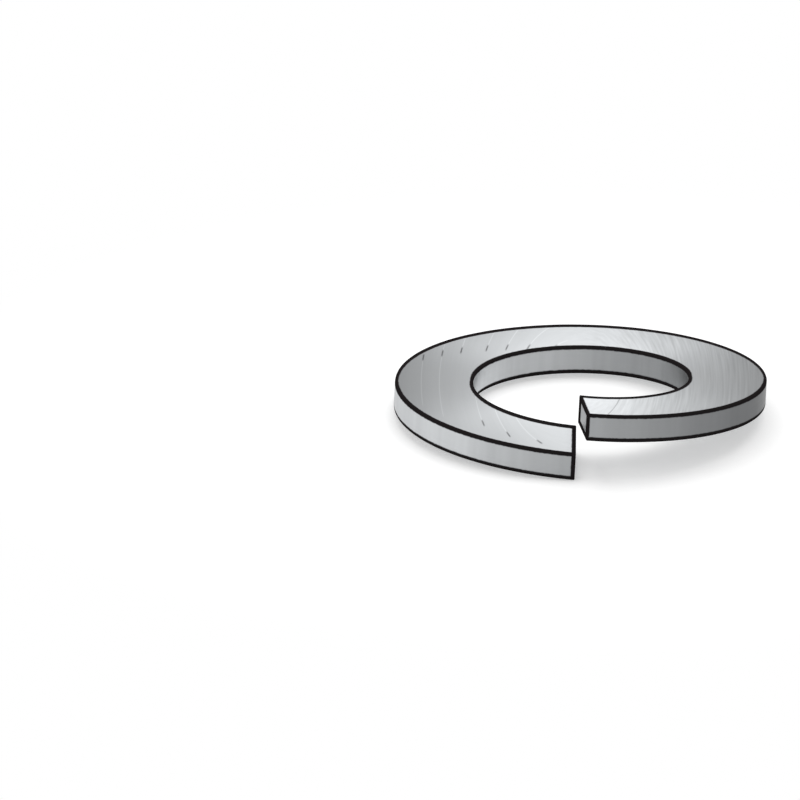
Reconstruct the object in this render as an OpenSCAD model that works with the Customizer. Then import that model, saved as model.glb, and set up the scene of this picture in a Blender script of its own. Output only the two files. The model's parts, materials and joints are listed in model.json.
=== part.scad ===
// Split spring lock washer: one turn of flat spring-steel wire, cut through at
// the front and left sprung open, so that its two ends stand apart in height.
// +Z is the axis of the bore and the split looks towards -Y. The wire climbs
// clockwise as seen from above, from the lower end on the -X side of the split
// to the upper end on the +X side, which is the hand for a right-hand thread.
// The origin is on the axis, level with the lowest point of the lower end.

/* [Ring] */
// Diameter of the bore
bore_d = 12.2; // [8:0.1:24]
// Width of the wire, from the bore to the rim
section_w = 4.45; // [2:0.05:6]
// Thickness of the wire at the rim
section_t = 1.6; // [1:0.05:3]
// How much thicker the wire is at the bore, where coiling crowds the metal
bore_swell = 0.06; // [0:0.02:0.2]
// Radius of the wire's four long edges
edge_r = 0.16; // [0.1:0.01:0.3]

/* [Spring] */
// Height that the upper end stands above the lower end along the rim, with no load
rim_rise = 2.4; // [0.5:0.05:4]
// The same height along the bore, where the wire climbs less than at the rim
bore_rise = 1.8; // [0.5:0.05:4]

/* [Split] */
// Opening between the two ends at the bore, seen from above
gap_at_bore = 0.08; // [0.05:0.01:0.6]
// Opening between the two ends at the rim, seen from above
gap_at_rim = 0.54; // [0.2:0.01:1.5]
// How far the lower end stops short of the front centre line
lower_end_back = 0.22; // [0:0.02:1]

/* [Hidden] */
// Sections that follow one another round the turn
turn_steps = 144;
// Straight pieces that each rounded edge is drawn with
edge_steps = 2;
// How far the rough turn reaches past the true bore and rim walls
trim = 0.04;

bore_r = bore_d / 2;
rim_r = bore_r + section_w;
// Height of the tools that trim both walls, and how far below the ring they start
tool_low = section_t;
tool_h = tool_low + max(rim_rise, bore_rise) + 2 * (section_t + bore_swell);

// The upper end's cut in plan: where it crosses the bore and the rim, its slant
// from straight out, and its distance from the axis
function on_front(x, r) = [x, -sqrt(r ^ 2 - x ^ 2)];
cut_bore = on_front(gap_at_bore - lower_end_back, bore_r);
cut_rim = on_front(gap_at_rim - lower_end_back, rim_r);
cut_slant = atan((cut_rim.x - cut_bore.x) / (cut_bore.y - cut_rim.y));
cut_off = cut_bore.x * cos(cut_slant) + cut_bore.y * sin(cut_slant);

// Angle at which each end's cut crosses a radius, clockwise from the front
function lower_angle(r) = asin(lower_end_back / r);
function upper_angle(r) = 360 - cut_slant - asin(cut_off / r);

// Half the wire's thickness at a radius, and its middle's height at a radius and an
// angle, above that at the back
function half_t(r) = (section_t + bore_swell * (rim_r - r) / section_w) / 2;
function climb(r, angle) =
    (bore_rise + (rim_rise - bore_rise) * (r - bore_r) / section_w) * (angle / 360 - 0.5);

// The middle lies this high at the back, which brings the lowest corner down to zero
function low_corner(r) = climb(r, lower_angle(r)) - half_t(r);
back_z = -min(low_corner(bore_r + edge_r), low_corner(rim_r - edge_r));

// A rounded edge of the section's upper half, from the flat to the wall: side is
// 1 at the rim and -1 at the bore. Its last piece runs on past the true wall.
function rounded_edge(wall, side) =
    let (centre = [wall - side * edge_r, half_t(wall) - edge_r],
         turn = 90 / edge_steps)
    concat(
        [for (i = [0 : edge_steps - 1])
            centre + edge_r * [side * sin(i * turn), cos(i * turn)]],
        [[wall + side * trim, centre.y - trim * sin(turn) / (1 - cos(turn))]]);

function backwards(points) = [for (i = [len(points) - 1 : -1 : 0]) points[i]];

// The section as [radius, height above its middle]: its upper half from the bore
// to the rim, then its lower half, which mirrors it, back to the bore
upper_half = concat(backwards(rounded_edge(bore_r, -1)), rounded_edge(rim_r, 1));
section = concat(upper_half, [for (p = backwards(upper_half)) [p.x, -p.y]]);

// One point of the section, a share of the way from the lower to the upper end
function on_turn(point, share) =
    let (low = lower_angle(point.x),
         angle = low + (upper_angle(point.x) - low) * share)
    [-point.x * sin(angle), -point.x * cos(angle), back_z + climb(point.x, angle) + point.y];

// The turn before its walls are trimmed. Its two cut faces are upright strips,
// each between two neighbouring points of the upper half and their mirrors.
module rough_turn() {
    around = len(section);
    strips = [for (i = [0 : len(upper_half) - 2]) [i, i + 1, around - 2 - i, around - 1 - i]];
    sides = [for (step = [0 : turn_steps - 1], i = [0 : around - 1])
        let (here = step * around, next = (i + 1) % around)
        [here + i, here + next, here + around + next, here + around + i]];
    polyhedron(
        points = [for (step = [0 : turn_steps], point = section) on_turn(point, step / turn_steps)],
        faces = concat(
            [for (s = strips) backwards(s)],
            [for (s = strips) [for (i = s) turn_steps * around + i]],
            [for (s = sides) [s[0], s[1], s[2]]],
            [for (s = sides) [s[0], s[2], s[3]]]),
        convexity = 6);
}

module wall_tool(r) translate([0, 0, -tool_low]) cylinder(r = r, h = tool_h, $fn = 180);

module spring_washer() {
    color("silver")
        difference() {
            intersection() {
                rough_turn();
                wall_tool(rim_r);
            }
            wall_tool(bore_r);
        }
}

spring_washer();
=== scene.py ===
# Spring lock washer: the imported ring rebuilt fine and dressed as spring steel,
# on a plain white floor under soft studio light
import json
import math
from functools import reduce
from types import SimpleNamespace

import bpy
import numpy
from mathutils import Matrix, Vector


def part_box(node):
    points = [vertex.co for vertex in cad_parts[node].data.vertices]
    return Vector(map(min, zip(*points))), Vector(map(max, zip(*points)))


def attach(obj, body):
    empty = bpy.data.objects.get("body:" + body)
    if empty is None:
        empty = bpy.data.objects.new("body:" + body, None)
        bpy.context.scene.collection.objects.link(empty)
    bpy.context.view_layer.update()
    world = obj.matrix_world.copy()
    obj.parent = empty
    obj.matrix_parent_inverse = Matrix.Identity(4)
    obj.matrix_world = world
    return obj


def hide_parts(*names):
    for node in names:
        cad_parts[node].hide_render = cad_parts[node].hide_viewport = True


mm = 0.001

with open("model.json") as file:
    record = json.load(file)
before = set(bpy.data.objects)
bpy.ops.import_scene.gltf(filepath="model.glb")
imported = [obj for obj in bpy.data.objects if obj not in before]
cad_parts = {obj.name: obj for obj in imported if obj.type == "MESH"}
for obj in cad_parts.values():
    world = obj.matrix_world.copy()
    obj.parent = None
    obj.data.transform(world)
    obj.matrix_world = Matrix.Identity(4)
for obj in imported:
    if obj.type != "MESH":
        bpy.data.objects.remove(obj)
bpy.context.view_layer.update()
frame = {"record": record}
print("frame loaded")


class Signal:
    # one output of a node, so that node maths is written as ordinary maths

    def __init__(self, tree, socket=None):
        self.tree = tree
        self.socket = socket

    def node(self, kind, settings, sockets, out=0):
        made = self.tree.nodes.new(kind)
        for name, value in settings.items():
            setattr(made, name, value)
        for name, value in sockets.items():
            if isinstance(value, Signal):
                self.tree.links.new(value.socket, made.inputs[name])
            else:
                made.inputs[name].default_value = value
        return Signal(self.tree, made.outputs[out] if made.outputs else None)

    def maths(self, operation, *values):
        return self.node("ShaderNodeMath", {"operation": operation}, dict(enumerate(values)))

    def __add__(self, other):
        return self.maths("ADD", self, other)

    def __sub__(self, other):
        return self.maths("SUBTRACT", self, other)

    def __rsub__(self, other):
        return self.maths("SUBTRACT", other, self)

    def __mul__(self, other):
        return self.maths("MULTIPLY", self, other)

    def __truediv__(self, other):
        return self.maths("DIVIDE", self, other)

    def __rtruediv__(self, other):
        return self.maths("DIVIDE", other, self)

    def __abs__(self):
        return self.maths("ABSOLUTE", self)

    def __neg__(self):
        return self.maths("MULTIPLY", self, -1)

    __radd__ = __add__
    __rmul__ = __mul__

    def sine(self):
        return self.maths("SINE", self)

    def cosine(self):
        return self.maths("COSINE", self)

    def arcsine(self):
        return self.maths("ARCSINE", self)

    def least(self, other):
        return self.maths("MINIMUM", self, other)

    def most(self, other):
        return self.maths("MAXIMUM", self, other)

    def above(self, limit):
        return self.maths("GREATER_THAN", self, limit)

    def clamped(self):
        return self.node("ShaderNodeClamp", {}, {0: self})

    # 0 below low, 1 above high, and smooth between them
    def rising(self, low, high):
        return self.node("ShaderNodeMapRange", {"interpolation_type": "SMOOTHSTEP"},
                         {"Value": self, "From Min": low, "From Max": high})

    def vector(self, x, y, z):
        return self.node("ShaderNodeCombineXYZ", {}, {0: x, 1: y, 2: z})

    def vectorMaths(self, operation, *values, out=0):
        return self.node("ShaderNodeVectorMath", {"operation": operation},
                         dict(enumerate(values)), out)

    def parts(self):
        return [self.node("ShaderNodeSeparateXYZ", {}, {0: self}, axis) for axis in range(3)]

    def dot(self, direction):
        return self.vectorMaths("DOT_PRODUCT", self, direction, out="Value")

    def length(self):
        return self.vectorMaths("LENGTH", self, out="Value")

    # smooth noise about 0, mostly between -1 and 1, with scale waves to the unit
    def noise(self, scale, detail=2.0):
        raw = self.node("ShaderNodeTexNoise", {},
                        {"Vector": self, "Scale": scale, "Detail": detail})
        return (raw - 0.5) * 2

    # a colour, from first where this is 0 to second where it is 1
    def colour(self, first, second):
        return self.node("ShaderNodeMix", {"data_type": "RGBA"},
                         {0: self, 6: first, 7: second}, 2)


# The ring, in millimetres. Its bore and rim come from the frame.
ring = {
    "wireThickness": 1.6,  # at the rim
    "boreSwell": 0.06,  # how much thicker the wire is at the bore
    "edgeRadius": 0.16,  # the four long edges
    "endRadius": 0.05,  # the edges round each cut face
    "rimRise": 2.4,  # height of the upper end above the lower end, along the rim
    "boreRise": 1.8,  # and along the bore
    "lowerEndBack": 0.22,  # the lower cut's distance from the front centre line
    "gapAtBore": 0.08,  # opening between the two ends, seen from above
    "gapAtRim": 0.54,
    "turnRows": 360,  # rows of faces between the rounded edges: along the turn,
    "acrossRows": 14,  # across the wire
    "thickRows": 6,  # and up its thickness
    "edgeRows": 4,  # and those round each edge
    "unevenness": 0.006,  # how far the drawn wire strays from its true form
    "unevenWaves": 0.6,  # waves of that to the millimetre
    "seed": 3,
}
wireName = "wire"  # the attribute that says where on the wire a point is
bore = next(m for m in frame["record"]["mounts"] if m["kind"] == "bore")
boreRadius = bore["dims"]["r_mm"]
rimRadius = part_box("spring_washer")[1].x / mm
wireWidth = rimRadius - boreRadius
turnLength = math.tau * (boreRadius + rimRadius) / 2


# The upper cut's slant from straight out, and its distance from the axis
def upperCut():
    def onFront(gap, radius):
        x = gap - ring["lowerEndBack"]
        return Vector((x, -math.sqrt(radius ** 2 - x ** 2)))
    inner = onFront(ring["gapAtBore"], boreRadius)
    outer = onFront(ring["gapAtRim"], rimRadius)
    slant = math.atan2(outer.x - inner.x, inner.y - outer.y)
    return slant, inner.x * math.cos(slant) + inner.y * math.sin(slant)


# Height of the wire's middle at the back, which brings the ring's lowest corner down to zero
def backHeight():
    def lowCorner(radius):
        share = (radius - boreRadius) / wireWidth
        rise = ring["boreRise"] + (ring["rimRise"] - ring["boreRise"]) * share
        angle = math.asin(ring["lowerEndBack"] / radius)
        halfThickness = (ring["wireThickness"] + ring["boreSwell"] * (1 - share)) / 2
        return rise * (angle / math.tau - 0.5) - halfThickness
    return -min(lowCorner(boreRadius + ring["edgeRadius"]),
                lowCorner(rimRadius - ring["edgeRadius"]))


# What the ring's tree takes, by the name of its input, in metres and radians
def ringInputs():
    slant, offset = upperCut()
    return {
        "Bore Radius": boreRadius * mm,
        "Wire Width": wireWidth * mm,
        "Wire Thickness": ring["wireThickness"] * mm,
        "Bore Swell": ring["boreSwell"] * mm,
        "Edge Radius": ring["edgeRadius"] * mm,
        "End Radius": ring["endRadius"] * mm,
        "Bore Rise": ring["boreRise"] * mm,
        "Rim Rise": ring["rimRise"] * mm,
        "Back Height": backHeight() * mm,
        "Lower End Back": ring["lowerEndBack"] * mm,
        "Upper Cut Slant": slant,
        "Upper Cut Offset": offset * mm,
        "Unevenness": ring["unevenness"] * mm,
        "Uneven Waves": ring["unevenWaves"] / mm,
    }


# How far a row is through the first edge's rows, the even rows and the last edge's rows
def zones(row, rows):
    edge = ring["edgeRows"]
    return ((row / edge).clamped(),
            ((row - edge) / rows).clamped(),
            ((row - edge - rows) / edge).clamped())


# A block of rows bent into one climbing turn of wire, with rounded edges and two cut ends
def ringTree(inputs, material):
    tree = bpy.data.node_groups.new("springRing", "GeometryNodeTree")
    tree.interface.new_socket("Geometry", in_out="OUTPUT", socket_type="NodeSocketGeometry")
    for name in inputs:
        tree.interface.new_socket(name, in_out="INPUT", socket_type="NodeSocketFloat")
    entry = tree.nodes.new("NodeGroupInput")
    size = {name: Signal(tree, entry.outputs[name]) for name in inputs}
    start = Signal(tree)

    counts = [ring[name] for name in ("turnRows", "acrossRows", "thickRows")]
    whole = [count + 2 * ring["edgeRows"] for count in counts]
    block = start.node("GeometryNodeMeshCube", {}, {
        "Size": (1, 1, 1),
        "Vertices X": whole[0] + 1,
        "Vertices Y": whole[1] + 1,
        "Vertices Z": whole[2] + 1,
    })
    shares = start.node("GeometryNodeInputPosition", {}, {}).parts()
    rows = [(share + 0.5) * count for share, count in zip(shares, whole)]

    # along the turn, across the wire from the bore, and up its thickness
    width, thickness = size["Wire Width"], size["Wire Thickness"]
    edge, endRadius = size["Edge Radius"], size["End Radius"]
    length = (size["Bore Radius"] + width / 2) * math.tau
    firstEnd, even, lastEnd = zones(rows[0], counts[0])
    firstTurn = firstEnd * (math.pi / 2)
    lastTurn = lastEnd * (math.pi / 2)
    along = (endRadius * (1 - firstTurn.cosine() + lastTurn.sine())
             + (length - endRadius * 2) * even)
    endInset = endRadius * (2 - firstTurn.sine() - lastTurn.cosine())

    def overEdges(row, count, span):
        first, even, last = zones(row, count)
        return edge * (first + last) + (span - edge * 2) * even

    across = overEdges(rows[1], counts[1], width)
    thick = overEdges(rows[2], counts[2], thickness)
    marked = start.node("GeometryNodeStoreNamedAttribute",
                        {"data_type": "FLOAT_VECTOR", "domain": "POINT"},
                        {"Geometry": block, "Name": wireName,
                         "Value": start.vector(along, across, thick)})

    # each square corner of the section becomes a quarter disc
    tiny = 0.0001  # keeps points that are in no corner from a division by zero
    coreAcross = across.most(edge).least(width - edge)
    coreThick = thick.most(edge).least(thickness - edge)
    cornerAcross = (across - coreAcross) / edge
    cornerThick = (thick - coreThick) / edge
    square = abs(cornerAcross).most(abs(cornerThick))
    disc = start.vector(cornerAcross, cornerThick, 0.0).length().most(tiny)
    pull = square / disc * (edge - endInset)
    sectionOut = coreAcross + cornerAcross * pull
    sectionUp = coreThick + cornerThick * pull

    # the straight wire is bent round the bore as it climbs
    radius = size["Bore Radius"] + sectionOut
    swell = 1 + size["Bore Swell"] / thickness * (1 - sectionOut / width)
    low = (size["Lower End Back"] / radius).arcsine()
    high = math.tau - size["Upper Cut Slant"] - (size["Upper Cut Offset"] / radius).arcsine()
    angle = low + (high - low) * (along / length)
    rise = size["Bore Rise"] + (size["Rim Rise"] - size["Bore Rise"]) * (sectionOut / width)
    middle = size["Back Height"] + rise * (angle / math.tau - 0.5)
    bent = start.vector(-(radius * angle.sine()), -(radius * angle.cosine()),
                        middle + (sectionUp - thickness / 2) * swell)
    turned = start.node("GeometryNodeSetPosition", {}, {"Geometry": marked, "Position": bent})

    # drawn wire is never quite true
    place = start.node("GeometryNodeInputPosition", {}, {})
    seeded = start.vectorMaths("ADD", place, (ring["seed"], 0, 0))
    stray = size["Unevenness"] * seeded.noise(size["Uneven Waves"], detail=1.0)
    normal = start.node("GeometryNodeInputNormal", {}, {})
    offset = start.vectorMaths("MULTIPLY", normal, start.vector(stray, stray, stray))
    uneven = start.node("GeometryNodeSetPosition", {}, {"Geometry": turned, "Offset": offset})

    smooth = start.node("GeometryNodeSetShadeSmooth", {}, {"Geometry": uneven})
    real = start.node("GeometryNodeRealizeInstances", {}, {"Geometry": smooth})
    dressed = start.node("GeometryNodeSetMaterial", {}, {"Geometry": real, "Material": material})
    final = tree.nodes.new("NodeGroupOutput")
    tree.links.new(dressed.socket, final.inputs["Geometry"])
    return tree


# A mesh object with what a tree makes from those inputs, and no modifier left on it
def grown(name, tree, inputs):
    piece = bpy.data.objects.new(name, bpy.data.meshes.new(name))
    bpy.context.scene.collection.objects.link(piece)
    modifier = piece.modifiers.new(tree.name, "NODES")
    modifier.node_group = tree
    for item in tree.interface.items_tree:
        if item.in_out == "INPUT":
            modifier[item.identifier] = inputs[item.name]
    graph = bpy.context.evaluated_depsgraph_get()
    mesh = bpy.data.meshes.new_from_object(piece.evaluated_get(graph), depsgraph=graph)
    piece.modifiers.clear()
    piece.data = mesh
    mesh.name = name
    return piece


# The steel. Lengths are in millimetres, waves are to the millimetre, tones are linear greys,
# and what varies a tone does so by a share of it.
steel = {
    "tint": (0.955, 0.98, 1.0, 1),
    "darkTint": (0.016, 0.0135, 0.014, 1),
    "faceTone": 0.45,
    "faceMiddle": 0.2,  # painted sheen: how much lighter the face is at X 0
    "middleReach": 5.5,  # how far that reaches to each side
    "faceByUpperCut": 0.17,  # painted highlight: how much lighter the face grows towards the upper cut
    "upperCutReach": 5.0,  # how far from that cut this starts
    "faceLean": 0.12,  # painted sheen: how much lighter the face is at the bore than at the rim
    "leanAtSides": 0.35,  # and how much more so at the ring's two sides
    "faceBands": 0.05,  # how much the face varies in broad bands
    "faceLines": 0.06,  # and in fine lines
    "moreLines": 0.24,  # and how much more so on the right
    "paleRise": 0.07,  # how much lighter a pale scratch is, as a tone
    "darkFall": 0.3,  # and how much darker a nick
    "rimTone": 0.375,
    "rimLean": 0.245,  # painted shade, as if lit from the left: how much lighter the rim is towards -X and darker towards +X, as a tone
    "boreTone": 0.4,
    "boreLean": 0.19,  # the same painted shade for the bore
    "boreSides": 0.45,  # painted light: how much lighter the bore is at its two sides, where it lies in its own shade
    "sidesFrom": 0.6,  # where those start, as a share of the radius
    "wallStreaks": 0.04,  # how much the walls vary in drawing lines
    "wallStripes": 0.08,  # and in upright stripes
    "streakWaves": (0.12, 3.0, 11.0),  # along the wire, outwards and up
    "stripeWaves": 2.2,
    "stripeSeed": 3.0,  # any number, as the other seeds are: another one gives other marks
    "cutTone": 0.42,
    "cutStreaks": 0.12,  # how much the cuts vary in the shear's marks
    "shearWaves": (9.0, 0.8),  # across the wire and up
    "shearSeed": 5.0,
    "grazing": (0.75, 0.75, 0.75, 1),  # keeps the metal from flaring at a low angle
    "faceRoughness": 0.52,
    "wallRoughness": 0.4,
    "roughnessDrift": 0.05,
    "anisotropy": 0.85,
    "grainTurn": 0.25,  # quarter turn, so that the sheen falls across the grain
    "darkOnFace": 0.2,  # how far the dark scale reaches from each edge, at the sides
    "moreOnFace": 0.24,  # and how much further at the front and the back
    "offCentre": 0.24,  # how far the ground band lies towards the split, off the ring's middle
    "darkOnWallTop": 0.19,
    "darkOnWallFoot": 0.26,
    "darkOnCutTop": 0.24,
    "darkOnCutFoot": 0.38,  # where the shear broke through
    "darkByCutRim": 0.6,
    "darkByCutBore": 1.15,
    "darkByLowerCut": 0.25,
    "darkByUpperCut": 0.15,
    "darkSoftness": 0.035,  # how far each side of its border the scale fades
    "fray": 0.03,  # how far that border strays
    "frayWaves": 5.0,
    "lineDepth": 0.0008,  # how far each kind of mark stands out or goes in
    "nickDepth": 0.006,
    "streakDepth": 0.0015,
    "shearDepth": 0.006,
    "crustDepth": 0.002,  # of the scale itself
    "crustWaves": 9.0,
    "flatWithin": 0.0005,  # a point this near to a flat's level is on the flat
}

# The faces were ground with a wheel whose axis leans: its arcs are circles about that axis
grinding = {
    "lean": 17.26,  # degrees, the axis above level
    "roll": 2.99,
    "centre": (-0.11, -0.03, 2.69),
    "finePitch": 9.0,  # fine lines to the millimetre
    "drift": 0.45,  # how much they change along an arc
    "linesFrom": -2.0,  # how far right of the axis the fine lines start to grow stronger
    "linesTo": 4.0,  # and where they are strongest
    "bandPitch": 1.1,  # broad bands to the millimetre
    "bandSeed": 7.0,
    "lineWidth": 0.04,  # from the middle of a scratch to where it is gone
    "lineFade": 1.5,  # degrees over which its end fades, each way
    "nickWidth": 0.06,  # the same for a nick
    "nickLength": 0.17,  # from the middle of a nick to its end
    "nickFade": 0.5,  # how far that end fades each way, as a share of this
    "markCore": 0.35,  # share of a mark's width that has its full strength
    "darkArcStrength": 0.6,  # of the long dark scratch, where a nick has 1
}

# Pale scratches on the upper face, each an arc about the wheel's axis: its radius, and the
# degrees it runs between, from 0 at the left and rising towards the back
paleArcs = [
    (8.96, -9, 9.5),
    (7.93, -15, 12),
    (8.96, 9, 40),
    (7.93, 11, 60),
    (6.91, 15, 70),
    (5.55, 20, 80),
    (4.51, 25, 80),
    (3.44, 34, 85),
    (2.35, 55, 74),
    (5.94, -26, -8),
    (5.03, -38, -8),
    (4.14, -58, -8),
]

# Dark nicks, each near an end of a pale arc: its radius and its place in degrees
darkNicks = [
    (8.96, 8.3), (7.93, 11.1), (6.91, 14.2), (5.55, 19.1), (4.51, 24.5), (3.44, 33.3),
    (2.35, 53.9), (5.94, -24.2), (5.03, -37.6), (4.14, -57.4),
]
darkArc = (2.53, -157, -130)  # the one long dark scratch, near the upper end


# Right and up as seen along an axis that comes down on the ring from in front, from its
# degrees above level and of roll. The wheel and the camera both take theirs from here.
def rightAndUp(aboveLevel, roll):
    aboveLevel = math.radians(aboveLevel)
    roll = math.radians(roll)
    right = Vector((math.cos(roll), 0, math.sin(roll)))
    up = Vector((-math.sin(roll) * math.cos(aboveLevel), math.sin(aboveLevel),
                 math.cos(roll) * math.cos(aboveLevel)))
    return right, up


# The emptied node tree of a material or a world, ready for its first node
def emptied(owner):
    owner.use_nodes = True
    owner.node_tree.nodes.clear()
    return Signal(owner.node_tree)


# Where a point is, in millimetres, which of the wire's surfaces it is on, and the marks that
# drawing and shearing left there
def wirePlace(start):
    at = SimpleNamespace()
    metres = start.node("ShaderNodeTexCoord", {}, {}, "Object")
    at.place = start.vectorMaths("MULTIPLY", metres, (1 / mm,) * 3)
    at.x, at.y = at.place.parts()[:2]
    at.radius = start.vector(at.x, at.y, 0.0).length()
    onWire = start.node("ShaderNodeAttribute", {"attribute_name": wireName}, {}, "Vector")
    at.along, at.across, at.thick = start.vectorMaths("MULTIPLY", onWire, (1 / mm,) * 3).parts()

    def atEnds(value, span):
        return abs(value - span / 2).above(span / 2 - steel["flatWithin"])

    at.isFace = atEnds(at.thick, ring["wireThickness"])
    at.isCut = atEnds(at.along, turnLength)
    at.isUpper = at.thick.above(ring["wireThickness"] / 2)
    at.isRim = at.across.above(wireWidth / 2)

    alongWaves, outWaves, upWaves = steel["streakWaves"]
    streaks = start.vector(at.along * alongWaves, at.radius * outWaves, at.thick * upWaves)
    at.drawn = streaks.noise(1.0, detail=3.0)
    acrossWaves, upWaves = steel["shearWaves"]
    tears = start.vector(at.across * acrossWaves, at.thick * upWaves, steel["shearSeed"])
    at.sheared = tears.noise(1.0, detail=3.0)
    return at


# What the wheel left: fine lines and broad bands, both about 0, and the pale scratches and
# dark nicks of the upper face, both from 0 to 1
def wheelMarks(start, at):
    right, up = rightAndUp(grinding["lean"], grinding["roll"])
    fromCentre = start.vectorMaths("SUBTRACT", at.place, grinding["centre"])
    aside = fromCentre.dot(right)
    ahead = fromCentre.dot(up)
    arc = start.vector(aside, ahead, 0.0).length()
    turn = start.maths("ARCTAN2", ahead, -aside) * (180 / math.pi)
    drift = grinding["drift"] / arc
    wheel = SimpleNamespace()
    wheel.fine = start.vector(arc, aside * drift, ahead * drift).noise(grinding["finePitch"])
    wheel.bands = start.vector(arc, grinding["bandSeed"], 0.0).noise(grinding["bandPitch"])
    wheel.rightHand = aside.rising(grinding["linesFrom"], grinding["linesTo"])

    def arcMark(where, fromTurn, toTurn, width, fade):
        line = 1 - abs(arc - where).rising(width * grinding["markCore"], width)
        span = turn.rising(fromTurn - fade, fromTurn + fade)
        return line * span * (1 - turn.rising(toTurn - fade, toTurn + fade))

    def scratch(where, fromTurn, toTurn):
        return arcMark(where, fromTurn, toTurn, grinding["lineWidth"], grinding["lineFade"])

    def nick(where, atTurn):
        half = math.degrees(grinding["nickLength"] / where)
        return arcMark(where, atTurn - half, atTurn + half,
                       grinding["nickWidth"], half * grinding["nickFade"])

    pale = reduce(Signal.most, [scratch(*mark) for mark in paleArcs])
    longMark = scratch(*darkArc) * grinding["darkArcStrength"]
    dark = reduce(Signal.most, [nick(*mark) for mark in darkNicks], longMark)
    wheel.pale = pale * at.isFace * at.isUpper
    wheel.dark = dark * at.isFace * at.isUpper
    return wheel


# The tones of the ground faces, the drawn walls and the sheared ends, as one, with painted sheen
# and highlight on the faces and painted shade and light on the walls
def steelTone(start, at, wheel):
    towardsRight = at.x / at.radius
    # painted sheen and highlight on the faces: lighter about X 0, towards the upper cut, and at
    # the bore than at the rim, most at the ring's sides
    middle = 1 - abs(at.x).rising(0, steel["middleReach"])
    highlightByUpperCut = at.along.rising(turnLength - steel["upperCutReach"], turnLength)
    lean = steel["faceLean"] + steel["leanAtSides"] * (towardsRight * towardsRight)
    lines = (steel["faceLines"] + steel["moreLines"] * wheel.rightHand) * wheel.fine
    faceTone = steel["faceTone"] * (1 + steel["faceMiddle"] * middle
                                    + steel["faceByUpperCut"] * highlightByUpperCut
                                    + lean * (0.5 - at.across / wireWidth)
                                    + steel["faceBands"] * wheel.bands + lines)
    faceTone = faceTone + wheel.pale * steel["paleRise"] - wheel.dark * steel["darkFall"]

    # painted shade on the walls, as if lit from the left: lighter towards -X and darker towards
    # +X
    rimTone = steel["rimTone"] - steel["rimLean"] * towardsRight
    # painted light: the bore lighter at its two sides, where it lies in its own shade
    atSides = abs(towardsRight).rising(steel["sidesFrom"], 1.0)
    boreTone = (steel["boreTone"] - steel["boreLean"] * towardsRight) * (
        1 + steel["boreSides"] * atSides)
    upright = start.vector(at.along, steel["stripeSeed"], 0.0)
    stripes = upright.noise(steel["stripeWaves"], detail=1.0)
    wallTone = ((boreTone + (rimTone - boreTone) * at.isRim)
                * (1 + steel["wallStreaks"] * at.drawn + steel["wallStripes"] * stripes))

    cutTone = steel["cutTone"] * (1 + steel["cutStreaks"] * at.sheared)
    tone = wallTone + (faceTone - wallTone) * at.isFace
    return tone + (cutTone - tone) * at.isCut


# The dark scale left on every edge, worn ragged: 1 on the scale and 0 on bare steel
def edgeScale(at):
    ragged = at.place.noise(steel["frayWaves"], detail=3.0) * steel["fray"]
    soft = steel["darkSoftness"]

    def scale(distance, reach):
        return 1 - (distance + ragged).rising(reach - soft, reach + soft)

    # lengths along the wire are true at its middle, and stretch with the radius
    stretch = at.radius / (boreRadius + wireWidth / 2)
    byCut = scale(at.along * stretch, steel["darkByLowerCut"]).most(
        scale((turnLength - at.along) * stretch, steel["darkByUpperCut"]))
    towardsBack = at.y / at.radius
    offset = steel["offCentre"] * towardsBack
    faceReach = steel["darkOnFace"] + steel["moreOnFace"] * abs(towardsBack)
    fromEdge = (at.across + offset).least(wireWidth - at.across - offset)
    onFace = scale(fromEdge - faceReach, 0)
    fromTop = ring["wireThickness"] - at.thick
    onWall = scale(fromTop, steel["darkOnWallTop"]).most(
        scale(at.thick, steel["darkOnWallFoot"]))
    onSide = (onWall + (onFace - onWall) * at.isFace).most(byCut)
    onCut = scale(fromTop, steel["darkOnCutTop"]).most(
        scale(at.thick, steel["darkOnCutFoot"]))
    onCut = onCut.most(scale(wireWidth - at.across, steel["darkByCutRim"])).most(
        scale(at.across, steel["darkByCutBore"]))
    return onSide + (onCut - onSide) * at.isCut


# Height in millimetres: the wheel's lines and nicks, drawing lines, shear marks and the scale
def steelRelief(at, wheel, edge):
    ground = (wheel.fine * steel["lineDepth"] - wheel.dark * steel["nickDepth"]) * at.isFace
    drawn = (at.drawn * steel["streakDepth"]) * (1 - at.isFace) * (1 - at.isCut)
    sheared = at.sheared * steel["shearDepth"] * at.isCut
    crust = at.place.noise(steel["crustWaves"], detail=3.0) * edge * steel["crustDepth"]
    return ground + drawn + sheared + crust


def springSteel():
    paint = bpy.data.materials.new("springSteel")
    start = emptied(paint)
    at = wirePlace(start)
    wheel = wheelMarks(start, at)
    edge = edgeScale(at)
    metal = steelTone(start, at, wheel).clamped().colour((0, 0, 0, 1), steel["tint"])
    wall = steel["wallRoughness"] + steel["roughnessDrift"] * at.drawn
    face = steel["faceRoughness"] + steel["roughnessDrift"] * wheel.fine
    bump = start.node("ShaderNodeBump", {}, {
        "Height": steelRelief(at, wheel, edge),
        "Distance": mm,
        "Strength": 1.0,
    })
    shader = start.node("ShaderNodeBsdfPrincipled", {}, {
        "Base Color": edge.colour(metal, steel["darkTint"]),
        "Roughness": wall * (1 - at.isFace) + face * at.isFace,
        "Metallic": 1 - edge,
        "Specular IOR Level": 0.0,  # the scale is matt
        "Specular Tint": steel["grazing"],
        "Anisotropic": steel["anisotropy"],
        "Anisotropic Rotation": steel["grainTurn"],
        "Normal": bump,
    })
    start.node("ShaderNodeOutputMaterial", {}, {"Surface": shader})
    return paint


inputs = ringInputs()
washer = grown("springWasher", ringTree(inputs, springSteel()), inputs)
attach(washer, "root")
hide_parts("spring_washer")
print("washer:", len(washer.data.vertices), "vertices")

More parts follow.
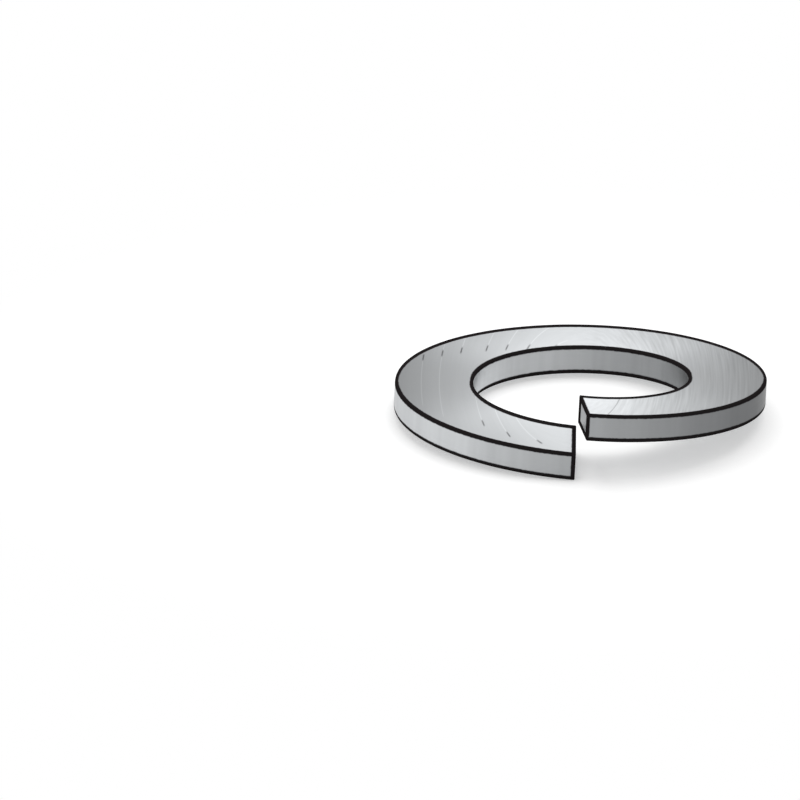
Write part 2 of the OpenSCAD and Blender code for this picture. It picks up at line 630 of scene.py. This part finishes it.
# The studio, in millimetres and watts
studio = {
    "floorRadius": 40,
    "floorCorners": 96,
    "floorFadeFrom": 22,  # from here the floor fades into the white round it
    "floorFadeTo": 38,
    "floorColour": (0.84, 0.84, 0.84, 1),
    "floorGlow": 0.35,  # what the camera and the metal see added to the floor
    "ambient": 0.6,
    "topSize": (150, 110),
    "topPlace": (5, 50, 115),
    "topPower": 0.08,
    "sideSize": (80, 80),
    "sidePlace": (-120, -10, 60),
    "sidePower": 0.02,
}


# The plane on which the sprung washer really comes to rest: of all planes below it, the one
# that is highest under its middle. Its slopes towards X and Y, and its height there.
def restPlane():
    points = numpy.array([v.co for v in washer.data.vertices])
    steepest = 0.3  # no slope is looked at past this
    rounds = 40  # each one leaves two thirds of what is still in question

    def lift(slopeX, slopeY):
        return (points @ (-slopeX, -slopeY, 1)).min()

    # the best slope, for a height that has one peak
    def peak(height):
        low, high = -steepest, steepest
        for step in range(rounds):
            left, right = low + (high - low) / 3, high - (high - low) / 3
            low, high = (left, high) if height(left) < height(right) else (low, right)
        return (low + high) / 2

    slopeX = peak(lambda x: lift(x, peak(lambda y: lift(x, y))))
    slopeY = peak(lambda y: lift(slopeX, y))
    return slopeX, slopeY, lift(slopeX, slopeY)


# 1 for the rays that should see white: the camera's, and those that a metal or glass sends on
def seenRays(start):
    seen = [start.node("ShaderNodeLightPath", {}, {}, name)
            for name in ("Is Camera Ray", "Is Glossy Ray", "Is Transmission Ray")]
    return reduce(Signal.most, seen)


# How bright the white round the washer is: 1 where it is seen, and the ambient light elsewhere
def whiteLevel(seen):
    return seen + (1 - seen) * studio["ambient"]


def floorMaterial():
    paint = bpy.data.materials.new("studioFloor")
    start = emptied(paint)
    paint.cycles.emission_sampling = "NONE"
    seen = seenRays(start)
    x, y = start.node("ShaderNodeTexCoord", {}, {}, "Object").parts()[:2]
    away = start.vector(x, y, 0.0).length()
    matt = start.node("ShaderNodeBsdfDiffuse", {}, {"Color": studio["floorColour"]})
    glow = start.node("ShaderNodeEmission", {}, {"Strength": seen * studio["floorGlow"]})
    near = start.node("ShaderNodeAddShader", {}, {0: matt, 1: glow})
    white = start.node("ShaderNodeEmission", {}, {"Strength": whiteLevel(seen)})
    fade = away.rising(studio["floorFadeFrom"] * mm, studio["floorFadeTo"] * mm)
    topSide = start.node("ShaderNodeMixShader", {}, {0: fade, 1: near, 2: white})
    below = start.node("ShaderNodeBsdfTransparent", {}, {})
    back = start.node("ShaderNodeNewGeometry", {}, {}, "Backfacing")
    both = start.node("ShaderNodeMixShader", {}, {0: back, 1: topSide, 2: below})
    start.node("ShaderNodeOutputMaterial", {}, {"Surface": both})
    return paint


def makeFloor():
    slopeX, slopeY, lift = restPlane()
    print("rests at", round(math.degrees(math.atan(math.hypot(slopeX, slopeY))), 1), "degrees")
    mesh = bpy.data.meshes.new("floor")
    corners = []
    for i in range(studio["floorCorners"]):
        turn = math.tau * i / studio["floorCorners"]
        x = studio["floorRadius"] * mm * math.cos(turn)
        y = studio["floorRadius"] * mm * math.sin(turn)
        corners.append((x, y, slopeX * x + slopeY * y + lift))
    mesh.from_pydata(corners, [], [list(range(len(corners)))])
    mesh.materials.append(floorMaterial())
    floor = bpy.data.objects.new("floor", mesh)
    bpy.context.scene.collection.objects.link(floor)


def makeWorld():
    world = bpy.data.worlds.new("studioWorld")
    bpy.context.scene.world = world
    start = emptied(world)
    world.cycles.sampling_method = "NONE"
    sky = start.node("ShaderNodeBackground", {}, {
        "Strength": whiteLevel(seenRays(start)),
        "Color": (1, 1, 1, 1),
    })
    start.node("ShaderNodeOutputWorld", {}, {"Surface": sky})


def softbox(name, place, size, power):
    lamp = bpy.data.lights.new(name, "AREA")
    lamp.shape = "RECTANGLE"
    lamp.size = size[0] * mm
    lamp.size_y = size[1] * mm
    lamp.energy = power
    holder = bpy.data.objects.new(name, lamp)
    holder.location = Vector(place) * mm
    holder.rotation_mode = "QUATERNION"
    holder.rotation_quaternion = (-Vector(place)).to_track_quat("-Z", "Y")
    holder.visible_camera = False
    bpy.context.scene.collection.objects.link(holder)


# The camera looks down on the washer from in front, as the drawing does. The picture's own
# pixels say where the middle of the upper face falls, and how large it is.
photo = {
    "width": 800,
    "faceCentre": (581.0, 378.1),
    "pixelsPerMm": 17.6,
    "elevation": 17.26,  # degrees
    "roll": 2.99,
    "faceHeight": 2.8,  # of the middle of the upper face, in millimetres
    "lens": 1000,  # so long that the picture is all but parallel, as the drawing is
    "sensor": 36,
    "clipping": 10,  # the clip planes are this many times nearer and farther than the washer
}


def makeCamera():
    right, up = rightAndUp(photo["elevation"], photo["roll"])
    back = right.cross(up)
    picture = photo["width"] / photo["pixelsPerMm"]
    away = picture * photo["lens"] / photo["sensor"]
    centre = Vector((0, 0, photo["faceHeight"]))
    stand = centre + back * away
    middle = photo["width"] / 2
    aim = (centre + right * (middle - photo["faceCentre"][0]) / photo["pixelsPerMm"]
           - up * (middle - photo["faceCentre"][1]) / photo["pixelsPerMm"])
    toScene = (stand - aim).normalized()
    sideways = up.cross(toScene).normalized()
    upright = toScene.cross(sideways)
    turn = Matrix((sideways, upright, toScene)).transposed()

    lens = bpy.data.cameras.new("camera")
    lens.lens = photo["lens"]
    lens.sensor_width = photo["sensor"]
    lens.clip_start = away * mm / photo["clipping"]
    lens.clip_end = away * mm * photo["clipping"]
    camera = bpy.data.objects.new("camera", lens)
    camera.rotation_mode = "QUATERNION"
    camera.rotation_quaternion = turn.to_quaternion()
    camera.location = stand * mm
    bpy.context.scene.collection.objects.link(camera)
    bpy.context.scene.camera = camera


makeFloor()
makeWorld()
softbox("topSoftbox", studio["topPlace"], studio["topSize"], studio["topPower"])
softbox("sideSoftbox", studio["sidePlace"], studio["sideSize"], studio["sidePower"])
makeCamera()
bpy.context.scene.view_settings.view_transform = "Standard"
print("studio ready")
